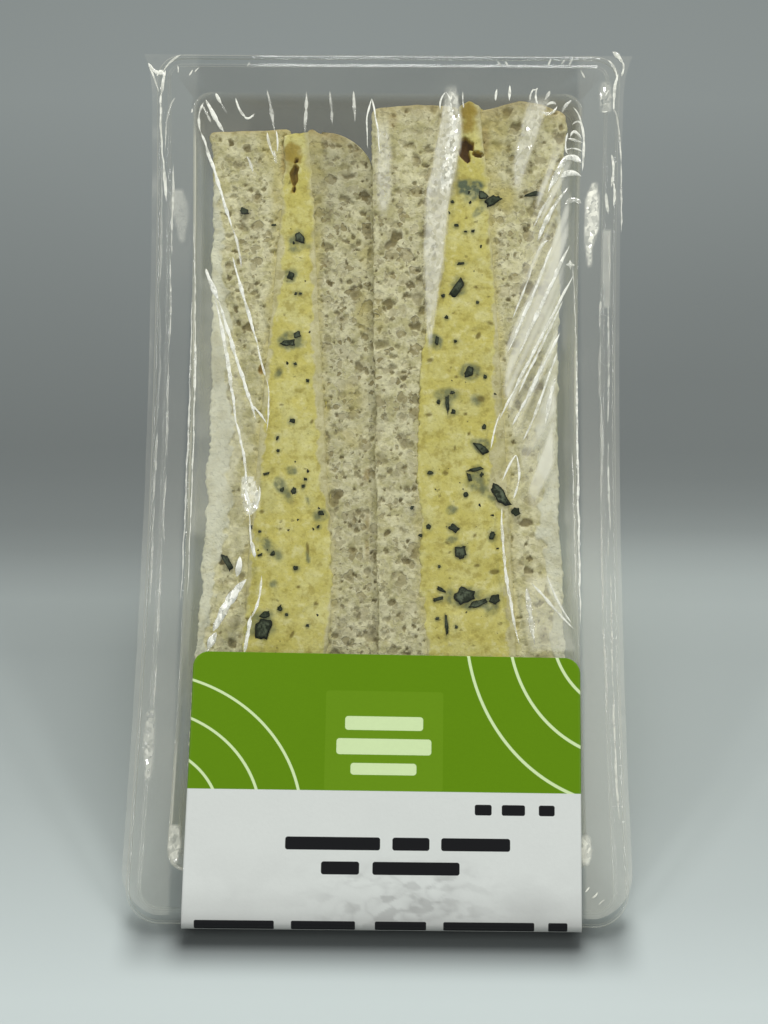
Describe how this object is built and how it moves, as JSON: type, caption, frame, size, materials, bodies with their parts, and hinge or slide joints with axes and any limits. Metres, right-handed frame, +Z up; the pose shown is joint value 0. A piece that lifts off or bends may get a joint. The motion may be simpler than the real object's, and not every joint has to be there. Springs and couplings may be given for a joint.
{
  "type": "egg salad sandwich in a wedge pack",
  "caption": "Egg salad sandwich on white bread, cut corner to corner and packed cut faces outwards in a clear wedge tray with a film window and a wrap-round paper label.",
  "frame": {"origin": "on the surface that the pack stands on, under the middle of its bounding box", "axes": "+Z up, +X across the pack to the right as seen from the front, -Y towards the viewer: the window leans back and faces -Y and up"},
  "size_m": [0.1004, 0.1334, 0.1187],
  "materials": {
    "tray": "clear thermoformed sheet",
    "film": "clear sealing film, creased",
    "label": "coated paper, green over white",
    "bread": "open white crumb, pale crust",
    "egg": "moist egg salad with green herb bits"
  },
  "bodies": {
    "root": {"tray": "tray", "film": "film", "label": "label", "bread_a": "bread", "bread_b": "bread", "bread_c": "bread", "bread_d": "bread", "egg_left": "egg", "egg_right": "egg"}
  },
  "joints": []
}
